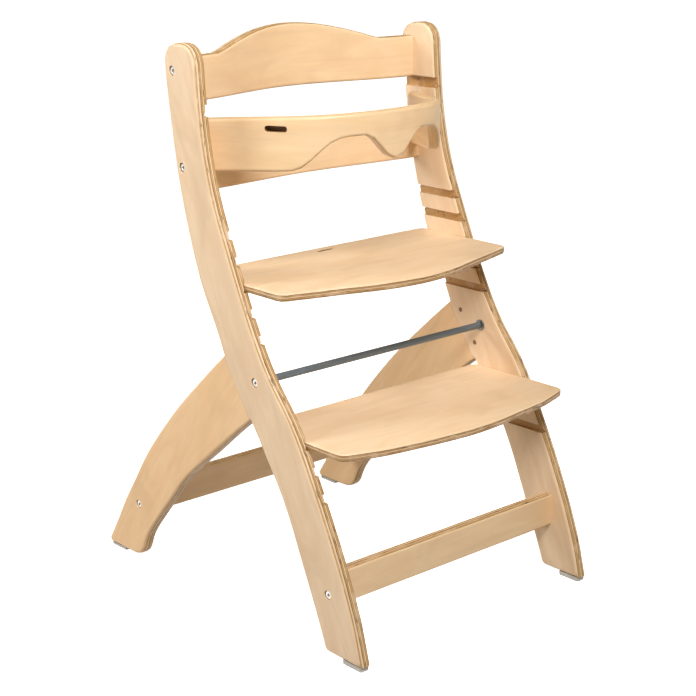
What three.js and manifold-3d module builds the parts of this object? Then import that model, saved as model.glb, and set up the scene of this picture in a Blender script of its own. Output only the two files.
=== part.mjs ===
// Wooden high chair for a baby, built from plywood boards.
// Millimetres, +Z up. X runs across the chair, the front faces -Y, and the origin is on the floor
// under the middle of the chair's outline. Both sides are mirror images about X = 0.

import * as THREE from 'three';
import { mergeVertices } from 'three/addons/utils/BufferGeometryUtils.js';
import Module from 'manifold-3d';

const wasm = await Module();
wasm.setup();

// ---- driving dimensions ----
const WIDTH = 450;              // across the outer faces of the two sides
const SIDE_BOARD = 18;          // thickness of the side boards, rails and crossbars
const PLATE = 11;               // thickness of the seat and footrest plates
const ARRIS = 4.5;              // rounding of the side boards' and back rails' edges
const BAR_ARRIS = 3;            // rounding of the crossbars' edges
const GAP = 0.3;                // play between neighbouring pieces
const FRONT_GLIDE_HEIGHT = 7;   // the boards' feet stand this high above the floor at the front
const REAR_GLIDE_HEIGHT = 4;    // and this high at the rear

const GROOVE_DEPTH = 6;
const GROOVE_HEIGHT = PLATE + 2 * GAP;
const GROOVE_PITCH = 33;
const SEAT_TOP = 483;
const FOOTREST_TOP = 292;
const SEAT_GROOVES_ABOVE = 2;
const SEAT_GROOVES_BELOW = 2;
const FOOTREST_GROOVES_BELOW = 2;
const TOP_GROOVE_MIDDLE = 704;
const TOP_GROOVE_HEIGHT = 16;

const BOLT_SHANK = 6;
const BOLT_HEAD = 12;
const BOLT_HEAD_HEIGHT = 3.2;
const BOLT_HEAD_SINK = 1.4;     // from the board's face down to the top of a bolt head
const BOLT_HEAD_PLAY = 0.6;     // around a head, in its counterbore
const HEX_SOCKET = 4;
const NUT_DIAMETER = 10;
const NUT_LENGTH = 10;
const DOWEL = 8;
const PIN = 5;
const PIN_CAP = 7;
const PIN_CAP_HEIGHT = 3;
const ROD_DIAMETER = 10;

const OUTER = WIDTH / 2;
const INNER = OUTER - SIDE_BOARD;

const COLOURS = {
  birch: { color: 0xe3bf8d, roughness: 0.5, metalness: 0 },
  beech: { color: 0xa9763f, roughness: 0.6, metalness: 0 },
  steel: { color: 0x9a9fa5, roughness: 0.3, metalness: 1 },
  rod: { color: 0x7f868e, roughness: 0.4, metalness: 0.9 },
  glide: { color: 0xc9cac8, roughness: 0.6, metalness: 0 },
};

// ---- solids ----
function toSolid(geometry) {
  const bare = geometry.clone();
  bare.deleteAttribute('normal');
  bare.deleteAttribute('uv');
  const merged = mergeVertices(bare, 1e-4);
  const mesh = new wasm.Mesh({
    numProp: 3,
    vertProperties: new Float32Array(merged.attributes.position.array),
    triVerts: new Uint32Array(merged.index.array),
  });
  return new wasm.Manifold(mesh);
}

function toGeometry(solid) {
  const mesh = solid.getMesh();
  const geometry = new THREE.BufferGeometry();
  geometry.setAttribute('position', new THREE.BufferAttribute(mesh.vertProperties, 3));
  geometry.setIndex(new THREE.BufferAttribute(mesh.triVerts, 1));
  geometry.computeVertexNormals();
  return geometry;
}

function cut(solid, tools) {
  return tools.reduce((left, tool) => left.subtract(tool.isBufferGeometry ? toSolid(tool) : tool), solid);
}

// An outline in the (Y, Z) plane, extruded along X between xLow and xHigh with rounded arrises.
function sideBoard(outline, xLow, xHigh, arris = ARRIS, curveSegments = 8) {
  const geometry = new THREE.ExtrudeGeometry(outline, {
    depth: xHigh - xLow - 2 * arris,
    bevelEnabled: arris > 0,
    bevelThickness: arris,
    bevelSize: arris,
    bevelOffset: -arris,
    bevelSegments: 3,
    curveSegments,
  });
  geometry.translate(0, 0, arris);
  // outline x becomes Y, outline y becomes Z, and the extrusion becomes X
  const turn = new THREE.Matrix4().makeBasis(
    new THREE.Vector3(0, 1, 0),
    new THREE.Vector3(0, 0, 1),
    new THREE.Vector3(1, 0, 0),
  );
  geometry.applyMatrix4(turn);
  geometry.translate(xLow, 0, 0);
  return geometry;
}

// An outline in the (X, Y) plane, extruded up from zLow to zHigh with rounded arrises.
function flatBoard(outline, zLow, zHigh, arris = ARRIS, curveSegments = 8) {
  const geometry = new THREE.ExtrudeGeometry(outline, {
    depth: zHigh - zLow - 2 * arris,
    bevelEnabled: arris > 0,
    bevelThickness: arris,
    bevelSize: arris,
    bevelOffset: -arris,
    bevelSegments: 3,
    curveSegments,
  });
  geometry.translate(0, 0, zLow + arris);
  return geometry;
}

function cylinder(diameter, length, axis, centre, sides = 12) {
  const geometry = new THREE.CylinderGeometry(diameter / 2, diameter / 2, length, sides);
  const up = new THREE.Vector3(0, 1, 0);
  geometry.applyQuaternion(new THREE.Quaternion().setFromUnitVectors(up, axis.clone().normalize()));
  geometry.translate(centre.x, centre.y, centre.z);
  return geometry;
}

function box(xLow, xHigh, yLow, yHigh, zLow, zHigh) {
  const geometry = new THREE.BoxGeometry(xHigh - xLow, yHigh - yLow, zHigh - zLow);
  geometry.translate((xLow + xHigh) / 2, (yLow + yHigh) / 2, (zLow + zHigh) / 2);
  return geometry;
}

const X_AXIS = new THREE.Vector3(1, 0, 0);
const Y_AXIS = new THREE.Vector3(0, 1, 0);
const at = (x, y, z) => new THREE.Vector3(x, y, z);
const yz = (y, z) => new THREE.Vector2(y, z);

const chair = new THREE.Group();

function add(name, geometry, colour) {
  const mesh = new THREE.Mesh(geometry, new THREE.MeshStandardMaterial(COLOURS[colour]));
  mesh.name = name;
  chair.add(mesh);
}

const SIDES = [
  { name: 'left', sign: -1 },
  { name: 'right', sign: 1 },
];

// ---- side profile, in (Y, Z) ----
const JOINT_LOW = yz(-76, 298);       // lower end of the butt joint with the rear leg
const JOINT_HIGH = yz(-20, 379);      // upper end of the butt joint
const BUTT = JOINT_HIGH.clone().sub(JOINT_LOW).normalize();
const BUTT_NORMAL = yz(BUTT.y, -BUTT.x);
const BUTT_WASTE = 2 * ARRIS;         // each board is drawn this much too long at the joint, then cut square
const FOOT_FRONT = yz(-301, FRONT_GLIDE_HEIGHT);
const FOOT_REAR = yz(-227, FRONT_GLIDE_HEIGHT);
const TOP_LEVEL = 790;

const FRONT_EDGE = [
  FOOT_FRONT, yz(-280, 80), yz(-234, 185), yz(-170, 302), yz(-117, 368), yz(-80, 429),
  yz(-37, 520), yz(-7, 592), yz(10, 660), yz(17, 720), yz(20, 765),
];
const REAR_EDGE_UPPER = [yz(-4, 413), yz(32, 483), yz(62, 580), yz(77, 660), yz(87, 735), yz(89, 765)];
const REAR_EDGE_LOWER = [yz(-139, 205), yz(-180, 119), yz(-216, 36), yz(-224.5, 14)];
const FOOT_ROUNDING = 7;

function uprightOutline() {
  const outline = new THREE.Shape();
  outline.moveTo(FOOT_FRONT.x, FOOT_FRONT.y);
  outline.splineThru(FRONT_EDGE.slice(1));
  outline.bezierCurveTo(22, TOP_LEVEL - 8, 34, TOP_LEVEL, 50, TOP_LEVEL);
  outline.bezierCurveTo(74, TOP_LEVEL, 89, TOP_LEVEL - 8, 89, 765);
  outline.splineThru([...REAR_EDGE_UPPER].reverse().slice(1).concat([JOINT_HIGH]));
  const high = JOINT_HIGH.clone().addScaledVector(BUTT_NORMAL, BUTT_WASTE);
  const low = JOINT_LOW.clone().addScaledVector(BUTT_NORMAL, BUTT_WASTE);
  outline.lineTo(high.x, high.y);
  outline.lineTo(low.x, low.y);
  outline.lineTo(JOINT_LOW.x, JOINT_LOW.y);
  outline.splineThru(REAR_EDGE_LOWER);
  outline.quadraticCurveTo(FOOT_REAR.x, FOOT_REAR.y, FOOT_REAR.x - FOOT_ROUNDING, FOOT_REAR.y);
  outline.closePath();
  return outline;
}

const LEG_HEEL = [yz(301, 10.5), yz(297, REAR_GLIDE_HEIGHT)];   // a small flat takes off the heel's point
const LEG_TOE = yz(213, REAR_GLIDE_HEIGHT);                     // a curve rounds off the toe
const LEG_TOE_ROUNDING = [yz(236, REAR_GLIDE_HEIGHT), yz(204.5, 20)];
const LEG_BACK = [
  yz(44, 324), yz(110, 263), yz(178, 189), yz(221, 130), yz(251, 88), yz(280, 42), LEG_HEEL[0],
];
const LEG_BELLY = [yz(186, 54), yz(130, 118), yz(81, 172), yz(18, 223), yz(-42, 272), JOINT_LOW];

function legOutline() {
  const high = JOINT_HIGH.clone().addScaledVector(BUTT_NORMAL, -BUTT_WASTE);
  const low = JOINT_LOW.clone().addScaledVector(BUTT_NORMAL, -BUTT_WASTE);
  const outline = new THREE.Shape();
  outline.moveTo(JOINT_HIGH.x, JOINT_HIGH.y);
  outline.splineThru(LEG_BACK);
  outline.lineTo(LEG_HEEL[1].x, LEG_HEEL[1].y);
  outline.lineTo(LEG_TOE_ROUNDING[0].x, LEG_TOE_ROUNDING[0].y);
  outline.quadraticCurveTo(LEG_TOE.x, LEG_TOE.y, LEG_TOE_ROUNDING[1].x, LEG_TOE_ROUNDING[1].y);
  outline.splineThru(LEG_BELLY);
  outline.lineTo(low.x, low.y);
  outline.lineTo(high.x, high.y);
  outline.closePath();
  return outline;
}

// The waste beyond the butt joint. The joint's faces are left GAP apart, with all of it taken off the leg.
function buttWaste(side) {
  const length = JOINT_HIGH.distanceTo(JOINT_LOW);
  const deep = 60;
  const start = side > 0 ? 0 : -GAP;
  const blank = new THREE.BoxGeometry(3 * WIDTH, length + 4, deep);
  const along = at(0, BUTT.x, BUTT.y);
  const outward = at(0, BUTT_NORMAL.x, BUTT_NORMAL.y);
  blank.applyMatrix4(new THREE.Matrix4().makeBasis(along.clone().cross(outward), along, outward));
  const centre = buttPoint(length / 2, -side * (start + deep / 2));
  blank.translate(0, centre.x, centre.y);
  return blank;
}

// ---- fastening places, in (Y, Z) ----
const TOP_RAIL_BOLT = yz(71, 753);
const LOWER_RAIL_BOLT = yz(57, 626);
const ROD_BOLT = yz(-88, 355);
const FRONT_BAR_BOLT = yz(-234, 92);
const REAR_BAR_BOLT = yz(212, 92);
const BAR_DOWEL_RISE = 20;
const UPRIGHT_BOLTS = [TOP_RAIL_BOLT, LOWER_RAIL_BOLT, ROD_BOLT, FRONT_BAR_BOLT];

const NUT_INSET = 26;           // from the inner face of a side to the middle of a barrel nut
const ROD_THREAD = 22;          // how far a bolt reaches into the tie rod
const BAR_DOWEL_LENGTH = 32;
const BAR_DOWEL_IN_SIDE = 10;

const LEG_DOWEL_PLACES = [22, 77];  // along the butt joint, from its lower end
const LEG_DOWEL_LENGTH = 56;
const LEG_PIN_INSET = 15.5;         // from the butt joint to a locking pin
const LEG_PIN_LENGTH = 13;

const COUNTERBORE = BOLT_HEAD_SINK + BOLT_HEAD_HEIGHT + GAP;

function boltHole(sign, place) {
  return [
    cylinder(BOLT_SHANK + 2 * GAP, 60, X_AXIS, at(sign * OUTER, place.x, place.y)),
    cylinder(BOLT_HEAD + 2 * BOLT_HEAD_PLAY, 2 * COUNTERBORE, X_AXIS, at(sign * OUTER, place.x, place.y), 24),
  ];
}

function barDowelCentre(sign, bolt) {
  const x = sign * (INNER + BAR_DOWEL_IN_SIDE - BAR_DOWEL_LENGTH / 2);
  return at(x, bolt.x, bolt.y + BAR_DOWEL_RISE);
}

function barDowelHole(sign, bolt) {
  return cylinder(DOWEL + 2 * GAP, BAR_DOWEL_LENGTH + 2, X_AXIS, barDowelCentre(sign, bolt));
}

const LEG_DOWEL_AXIS = at(0, BUTT_NORMAL.x, BUTT_NORMAL.y);

function buttPoint(along, inset) {
  return JOINT_LOW.clone().addScaledVector(BUTT, along).addScaledVector(BUTT_NORMAL, -inset);
}

function legDowel(sign, along, play) {
  const centre = buttPoint(along, 0);
  const middle = at(sign * (OUTER - SIDE_BOARD / 2), centre.x, centre.y);
  return cylinder(DOWEL + 2 * play, LEG_DOWEL_LENGTH + 4 * play, LEG_DOWEL_AXIS, middle);
}

// A pin goes in from the inner face and stops just short of the dowel's far side. Its cap shows on that face.
function legPin(sign, along, play) {
  const centre = buttPoint(along, LEG_PIN_INSET);
  const lengths = [LEG_PIN_LENGTH + 2 * play, PIN_CAP_HEIGHT + 2 * play];
  const [shank, cap] = [PIN, PIN_CAP].map((diameter, k) => {
    const x = sign * (INNER + lengths[k] / 2 - play);
    return toSolid(cylinder(diameter + 2 * play, lengths[k], X_AXIS, at(x, centre.x, centre.y), 14));
  });
  return shank.add(cap);
}

// ---- glides under the feet ----
const GLIDE_LENGTH = 38;
const GLIDE_WIDTH = 15;
const STUD = 6;
const STUD_HEIGHT = 14;
const FRONT_FOOT = { y: -280, height: FRONT_GLIDE_HEIGHT };
const REAR_FOOT = { y: 277, height: REAR_GLIDE_HEIGHT };

function glideStud(sign, foot, play) {
  const x = sign * (OUTER - SIDE_BOARD / 2);
  const middle = foot.height + STUD_HEIGHT / 2 - 1;
  return cylinder(STUD + 2 * play, STUD_HEIGHT + 2 * play, at(0, 0, 1), at(x, foot.y, middle), 8);
}

function glide(sign, foot) {
  const x = sign * (OUTER - SIDE_BOARD / 2);
  const pad = flatBoard(roundedRectangle(GLIDE_WIDTH, GLIDE_LENGTH, 3), 0, foot.height - GAP, 0, 2);
  pad.translate(x, foot.y, 0);
  return toGeometry(toSolid(pad).add(toSolid(glideStud(sign, foot, 0))));
}

function roundedRectangle(width, height, radius) {
  const x = width / 2;
  const y = height / 2;
  const outline = new THREE.Shape();
  outline.moveTo(-x + radius, -y);
  outline.lineTo(x - radius, -y);
  outline.quadraticCurveTo(x, -y, x, -y + radius);
  outline.lineTo(x, y - radius);
  outline.quadraticCurveTo(x, y, x - radius, y);
  outline.lineTo(-x + radius, y);
  outline.quadraticCurveTo(-x, y, -x, y - radius);
  outline.lineTo(-x, -y + radius);
  outline.quadraticCurveTo(-x, -y, -x + radius, -y);
  return outline;
}

// ---- grooves in the inner faces ----
function grooveMiddles() {
  const seat = SEAT_TOP - PLATE / 2;
  const footrest = FOOTREST_TOP - PLATE / 2;
  const middles = [];
  for (let k = -SEAT_GROOVES_BELOW; k <= SEAT_GROOVES_ABOVE; k += 1) {
    middles.push(seat + k * GROOVE_PITCH);
  }
  for (let k = -FOOTREST_GROOVES_BELOW; k <= 0; k += 1) {
    middles.push(footrest + k * GROOVE_PITCH);
  }
  return middles;
}

// A groove runs right through from the front edge to the rear edge of the board.
function groove(sign, middle, height) {
  const near = sign * (INNER - 20);
  const far = sign * (INNER + GROOVE_DEPTH);
  return box(Math.min(near, far), Math.max(near, far), -400, 400, middle - height / 2, middle + height / 2);
}

const MOUTH_FLARE = [[-7, -0.4], [-2, 1.4], [2, 4.2], [6, 9]];  // [out from the edge, wider than the groove]
const MOUTH_SPREAD = 3;         // extra width of a mouth where it is as deep as its groove

// Y of a board's edge, given as points in the (Y, Z) plane, at a height.
function edgeAt(edge, z) {
  const samples = new THREE.SplineCurve(edge).getPoints(400);
  return samples.reduce((best, point) => (Math.abs(point.y - z) < Math.abs(best.y - z) ? point : best)).x;
}

// The rounded mouth where a groove opens on an edge. outward is -1 at the front edge and 1 at the rear edge.
function grooveMouth(sign, edge, outward, middle, height) {
  const profile = MOUTH_FLARE.map(([out, wider]) => new THREE.Vector2(height / 2 + wider, out));
  const closed = [new THREE.Vector2(0, -7), ...profile, new THREE.Vector2(0, 6)];
  const mouth = new THREE.LatheGeometry(closed, 18);
  mouth.rotateX((outward * Math.PI) / 2);
  mouth.scale(GROOVE_DEPTH / (height / 2 + MOUTH_SPREAD), 1, 1);
  mouth.translate(sign * INNER, edgeAt(edge, middle), middle);
  return mouth;
}

function grooveTools(sign, middle, height) {
  const tools = [groove(sign, middle, height), grooveMouth(sign, FRONT_EDGE, -1, middle, height)];
  if (middle > JOINT_HIGH.y) {
    tools.push(grooveMouth(sign, [JOINT_HIGH, ...REAR_EDGE_UPPER], 1, middle, height));
  }
  if (middle < JOINT_LOW.y - GROOVE_PITCH) {
    tools.push(grooveMouth(sign, [JOINT_LOW, ...REAR_EDGE_LOWER], 1, middle, height));
  }
  return tools;
}

function upright(sign) {
  const low = sign > 0 ? INNER : -OUTER;
  const board = toSolid(sideBoard(uprightOutline(), low, low + SIDE_BOARD, ARRIS, 4));
  const tools = [
    buttWaste(1),
    ...grooveMiddles().flatMap((middle) => grooveTools(sign, middle, GROOVE_HEIGHT)),
    ...grooveTools(sign, TOP_GROOVE_MIDDLE, TOP_GROOVE_HEIGHT),
    ...UPRIGHT_BOLTS.flatMap((place) => boltHole(sign, place)),
    barDowelHole(sign, FRONT_BAR_BOLT),
    ...LEG_DOWEL_PLACES.map((along) => legDowel(sign, along, GAP)),
    ...LEG_DOWEL_PLACES.map((along) => legPin(sign, along, GAP)),
    glideStud(sign, FRONT_FOOT, GAP),
  ];
  return toGeometry(cut(board, tools));
}

function rearLeg(sign) {
  const low = sign > 0 ? INNER : -OUTER;
  const board = toSolid(sideBoard(legOutline(), low, low + SIDE_BOARD, ARRIS, 4));
  const tools = [
    buttWaste(-1),
    ...boltHole(sign, REAR_BAR_BOLT),
    barDowelHole(sign, REAR_BAR_BOLT),
    ...LEG_DOWEL_PLACES.map((along) => legDowel(sign, along, GAP)),
    glideStud(sign, REAR_FOOT, GAP),
  ];
  return toGeometry(cut(board, tools));
}

// ---- bent boards: a rounded section swept along a plan curve, with shaped lower and upper edges ----
// spine(t) gives the middle of the board in plan, bottom(t) and top(t) its lower and upper edges.
function bentBoard({ thickness, steps, spine, bottom, top, arris = ARRIS }) {
  const nominal = 6 * arris;
  const section = roundedRectangle(thickness, nominal, arris);
  const geometry = new THREE.ExtrudeGeometry(section, {
    depth: 1,
    steps,
    bevelEnabled: false,
    curveSegments: 3,
  });
  const position = geometry.attributes.position;
  for (let i = 0; i < position.count; i += 1) {
    const across = position.getX(i);
    const height = position.getY(i);
    const t = THREE.MathUtils.clamp(position.getZ(i), 0, 1);
    const middle = spine(t);
    const step = 1e-3;
    const ahead = spine(Math.min(t + step, 1)).sub(spine(Math.max(t - step, 0))).normalize();
    const z = height < 0 ? bottom(t) + height + nominal / 2 : top(t) + height - nominal / 2;
    position.setXYZ(i, middle.x - ahead.y * across, middle.y + ahead.x * across, z);
  }
  return geometry;
}

function straightBar(length, y, zLow, zHigh) {
  return bentBoard({
    thickness: SIDE_BOARD,
    steps: 1,
    spine: (t) => new THREE.Vector2((t - 0.5) * length, y),
    bottom: () => zLow,
    top: () => zHigh,
    arris: BAR_ARRIS,
  });
}

// ---- back rails and crossbars ----
const RAIL_LENGTH = 2 * (INNER - GAP);
const RAIL_STEPS = 36;
const TOP_RAIL_BOTTOM = 710;
const TOP_RAIL_END_TOP = 770;
const TOP_RAIL_CROWN = 28;          // how far the middle of its upper edge rises above the ends
const TOP_RAIL_CROWN_REACH = 145;
const TOP_RAIL_FULLNESS = 0.45;     // below 1, the crown is broad with steep shoulders
const TOP_RAIL_BOW = 38;
const LOWER_RAIL_BOTTOM = 591;
const LOWER_RAIL_TOP = 660;
const LOWER_RAIL_BOW = 14;
const BAR_BOTTOM = 76;
const BAR_TOP = 124;

// 1 in the middle of the chair, falling smoothly to 0 where |x| reaches the reach.
function swell(x, reach) {
  const u = Math.min(Math.abs(x) / reach, 1);
  return 0.5 + 0.5 * Math.cos(Math.PI * u);
}

function backRail(endY, bow, bottom, top, thickness = SIDE_BOARD, length = RAIL_LENGTH) {
  const x = (t) => (t - 0.5) * length;
  return bentBoard({
    thickness,
    steps: RAIL_STEPS,
    spine: (t) => new THREE.Vector2(x(t), endY + bow * swell(x(t), INNER)),
    bottom: () => bottom,
    top: (t) => top(x(t)),
  });
}

// The barrel nut sits across the board, in a hole drilled from the board's rear face.
function nutHole(sign, place) {
  const length = 40;
  const front = place.x - NUT_LENGTH / 2 - GAP;
  const centre = at(sign * (INNER - NUT_INSET), front + length / 2, place.y);
  return cylinder(NUT_DIAMETER + 2 * GAP, length, Y_AXIS, centre);
}

function withEndHoles(geometry, bolt, extra) {
  const tools = SIDES.flatMap(({ sign }) => [
    cylinder(BOLT_SHANK + 2 * GAP, 80, X_AXIS, at(sign * INNER, bolt.x, bolt.y)),
    nutHole(sign, bolt),
  ]);
  return toGeometry(cut(toSolid(geometry), [...tools, ...extra]));
}

const barDowelHoles = (bolt) => SIDES.map(({ sign }) => barDowelHole(sign, bolt));

function topRailEdge(x) {
  return TOP_RAIL_END_TOP + TOP_RAIL_CROWN * swell(x, TOP_RAIL_CROWN_REACH) ** TOP_RAIL_FULLNESS;
}

const topRail = backRail(TOP_RAIL_BOLT.x, TOP_RAIL_BOW, TOP_RAIL_BOTTOM, topRailEdge);
const lowerRail = backRail(LOWER_RAIL_BOLT.x, LOWER_RAIL_BOW, LOWER_RAIL_BOTTOM, () => LOWER_RAIL_TOP);
const barLength = 2 * (INNER - GAP);
const frontBar = straightBar(barLength, FRONT_BAR_BOLT.x, BAR_BOTTOM, BAR_TOP);
const rearBar = straightBar(barLength, REAR_BAR_BOLT.x, BAR_BOTTOM, BAR_TOP);

// ---- guard hoop ----
const HOOP_THICKNESS = 18;
const HOOP_ARRIS = 5;
const HOOP_FRONT = -117.5;          // middle of the board at the front of the hoop
const HOOP_END = yz(207, 60);       // rear end of an arm, in plan, before it is cut to meet the frame
const HOOP_FLARE = yz(131, -6);     // the arms curve in from the uprights towards this point
const HOOP_SHOULDER = 157;          // and swing round to the front from here
const HOOP_STEPS = 48;
const HOOP_END_LOW = 560;           // the space behind the arms, kept clear of them
const HOOP_END_HIGH = 780;
const HOOP_TOP_AT_RAIL = 690;
const HOOP_TILT = 0.063;            // rise towards the front, per millimetre
const HOOP_HEIGHT = 72;
const POMMEL_HEIGHT = 66;
const ARCH_HEIGHT = 30;             // height of the board above an arch
const ARCH_MIDDLE = 61;
const ARCH_END = 130;
const ARCH_SHARPNESS = 2.2;
const POMMEL_SPREAD = 50;
const SLOT_Y = -45;
const SLOT_Z = 681;
const SLOT_LENGTH = 32;
const SLOT_HEIGHT = 8;
const SLOT_DEPTH = 12;

function hoopSpine() {
  const path = new THREE.CurvePath();
  const half = (side) => [
    new THREE.Vector2(side * HOOP_END.x, HOOP_END.y),
    new THREE.Vector2(side * HOOP_FLARE.x, HOOP_FLARE.y),
    new THREE.Vector2(side * HOOP_SHOULDER, HOOP_FRONT),
    new THREE.Vector2(0, HOOP_FRONT),
  ];
  path.add(new THREE.CubicBezierCurve(...half(-1)));
  path.add(new THREE.CubicBezierCurve(...half(1).reverse()));
  return path;
}

const hoopPath = hoopSpine();
const hoopTop = (point) => HOOP_TOP_AT_RAIL + HOOP_TILT * (48 - point.y);

// Depth of the board below its upper edge: full at the arms, thin over the arches, deeper at the pommel.
function hoopDepth(point) {
  const x = Math.abs(point.x);
  if (x < ARCH_MIDDLE) {
    return ARCH_HEIGHT + (POMMEL_HEIGHT - ARCH_HEIGHT) * swell(x, POMMEL_SPREAD);
  }
  const rise = THREE.MathUtils.smoothstep(x, ARCH_MIDDLE, ARCH_END) ** ARCH_SHARPNESS;
  return THREE.MathUtils.lerp(ARCH_HEIGHT, HOOP_HEIGHT, rise);
}

function stadium(length, height) {
  const straight = (length - height) / 2;
  const outline = new THREE.Shape();
  outline.absarc(straight, 0, height / 2, -Math.PI / 2, Math.PI / 2);
  outline.absarc(-straight, 0, height / 2, Math.PI / 2, 1.5 * Math.PI);
  return outline;
}

// A blind slot cut square into the hoop's outer face, where its middle line reaches SLOT_Y.
function hoopSlot(sign) {
  const samples = hoopPath.getPoints(200).filter((point) => Math.sign(point.x) === sign);
  const distance = (point) => Math.abs(point.y - SLOT_Y);
  const nearest = samples.reduce((best, point) => (distance(point) < distance(best) ? point : best));
  const next = samples[samples.indexOf(nearest) + 1];
  const tangent = at(next.x - nearest.x, next.y - nearest.y, 0).normalize();
  const up = at(0, 0, 1);
  const floor = HOOP_THICKNESS / 2 - SLOT_DEPTH;
  const tool = flatBoard(stadium(SLOT_LENGTH, SLOT_HEIGHT), floor, 1.5 * HOOP_THICKNESS, 0, 5);
  tool.applyMatrix4(new THREE.Matrix4().makeBasis(tangent, up, tangent.clone().cross(up)));
  tool.translate(nearest.x, nearest.y, SLOT_Z);
  return tool;
}

const HOOP_SCREW = 5;
const HOOP_SCREW_HEAD = 9;
const HOOP_SCREW_HEAD_HEIGHT = 3;
const HOOP_SCREW_LENGTH = 25;
const HOOP_SCREW_X = 188;
const HOOP_SCREW_HEIGHTS = [640, 652];
const hoopScrewBack = LOWER_RAIL_BOLT.x + SIDE_BOARD / 2 + LOWER_RAIL_BOW * swell(HOOP_SCREW_X, INNER);

// The screw's head is sunk in the rail's rear face, and its shank runs forward into the arm.
function hoopScrew(sign, z, play) {
  const x = sign * HOOP_SCREW_X;
  const shank = HOOP_SCREW_LENGTH + 2 * play;
  const head = HOOP_SCREW_HEAD_HEIGHT + (play > 0 ? 10 : 0);
  const headFront = hoopScrewBack - HOOP_SCREW_HEAD_HEIGHT - 1 - play;
  return [
    cylinder(HOOP_SCREW_HEAD + 2 * play, head, Y_AXIS, at(x, headFront + head / 2, z)),
    cylinder(HOOP_SCREW + 2 * play, shank, Y_AXIS, at(x, headFront + 1 - shank / 2, z), 8),
  ];
}

const hoopScrewHoles = SIDES.flatMap(({ sign }) => (
  HOOP_SCREW_HEIGHTS.flatMap((z) => hoopScrew(sign, z, GAP))
));

// The arms end in the corners between the lower back rail and the uprights.
function guardHoop() {
  const geometry = bentBoard({
    thickness: HOOP_THICKNESS,
    steps: HOOP_STEPS,
    spine: (t) => hoopPath.getPoint(t),
    bottom: (t) => hoopTop(hoopPath.getPoint(t)) - hoopDepth(hoopPath.getPoint(t)),
    top: (t) => hoopTop(hoopPath.getPoint(t)),
    arris: HOOP_ARRIS,
  });
  const deep = 100;
  const behindY = LOWER_RAIL_BOLT.x - SIDE_BOARD / 2 - GAP + deep / 2;
  const length = RAIL_LENGTH + deep;
  const behind = backRail(behindY, LOWER_RAIL_BOW, HOOP_END_LOW, () => HOOP_END_HIGH, deep, length);
  const beside = SIDES.map(({ sign }) => {
    const blank = box(INNER - GAP, INNER + deep, -deep, deep, HOOP_END_LOW, HOOP_END_HIGH);
    return sign > 0 ? blank : blank.rotateZ(Math.PI);
  });
  const tools = [behind, ...beside, hoopSlot(-1), hoopSlot(1), ...hoopScrewHoles];
  return toGeometry(cut(toSolid(geometry), tools));
}

// ---- seat and footrest plates ----
const PLATE_REACH = INNER + GROOVE_DEPTH - 0.8;
const PLATE_REAR_RADIUS = 15;
const PLATE_ARRIS = 3;
const SEAT_REAR = 46;
const SEAT_FRONT = [yz(212, -124), yz(190, -139.5), yz(160, -149), yz(128, -158), yz(60, -179), yz(0, -186)];
const FOOTREST_REAR = -76;
const FOOTREST_FRONT = [
  yz(212, -244), yz(195, -258), yz(152, -271), yz(105, -279), yz(55, -286), yz(0, -290),
];
const SEAT_SLOT_Y = 27;
const SEAT_SLOT_LENGTH = 30;
const SEAT_SLOT_WIDTH = 5;

// The front edge bows forward between two blunt corners; frontHalf runs from a corner to the middle.
function plateOutline(rear, frontHalf) {
  const [corner, ...bow] = frontHalf;
  const mirrored = bow.slice(0, -1).reverse().map((point) => yz(-point.x, point.y));
  const outline = new THREE.Shape();
  outline.moveTo(-PLATE_REACH, corner.y);
  outline.lineTo(-PLATE_REACH, rear - PLATE_REAR_RADIUS);
  outline.quadraticCurveTo(-PLATE_REACH, rear, -PLATE_REACH + PLATE_REAR_RADIUS, rear);
  outline.lineTo(PLATE_REACH - PLATE_REAR_RADIUS, rear);
  outline.quadraticCurveTo(PLATE_REACH, rear, PLATE_REACH, rear - PLATE_REAR_RADIUS);
  outline.lineTo(PLATE_REACH, corner.y);
  outline.quadraticCurveTo(PLATE_REACH, bow[0].y + 4, bow[0].x, bow[0].y);
  outline.splineThru([...bow.slice(1), ...mirrored]);
  outline.quadraticCurveTo(-PLATE_REACH, bow[0].y + 4, -PLATE_REACH, corner.y);
  return outline;
}

function plate(rear, frontHalf, top) {
  return flatBoard(plateOutline(rear, frontHalf), top - PLATE, top, PLATE_ARRIS, 3);
}

function seatSlot() {
  const outline = stadium(SEAT_SLOT_LENGTH, SEAT_SLOT_WIDTH);
  const tool = flatBoard(outline, SEAT_TOP - 2 * PLATE, SEAT_TOP + PLATE, 0, 5);
  tool.translate(0, SEAT_SLOT_Y, 0);
  return tool;
}

// ---- fasteners ----
const WASHER_DIAMETER = 16.5;
const WASHER_THICKNESS = 2;
const ROD_REACH = INNER - WASHER_THICKNESS - 2 * GAP;
const NUT_TIP = INNER - NUT_INSET - NUT_DIAMETER / 2 - 2;
const ROD_TIP = ROD_REACH - ROD_THREAD + 1;

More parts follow.
